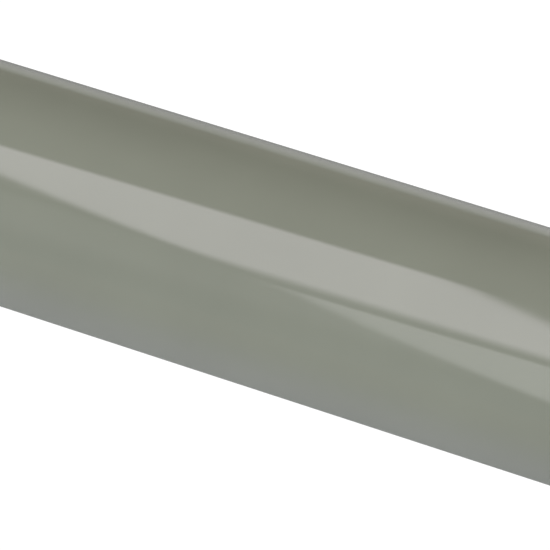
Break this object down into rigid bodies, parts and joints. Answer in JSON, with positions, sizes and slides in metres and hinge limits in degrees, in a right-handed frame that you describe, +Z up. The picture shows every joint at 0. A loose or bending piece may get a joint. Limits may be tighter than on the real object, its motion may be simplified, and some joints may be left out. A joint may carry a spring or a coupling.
{
  "type": "bullnose tile",
  "caption": "Narrow glazed bullnose trim tile: a straight bar with a smooth domed face, low square sides, plain ends and a flat keyed back.",
  "frame": {"origin": "middle of the tile's length and width, on the plane of the bed that it lies on", "axes": "+X along the tile, +Z up from the bed to the crown, -Y towards a person in front of it"},
  "size_m": [0.2, 0.02, 0.0116],
  "materials": {
    "glaze": "gloss grey-green glaze on a fired ceramic body"
  },
  "bodies": {
    "root": {"bullnose_tile": "glaze"}
  },
  "joints": []
}
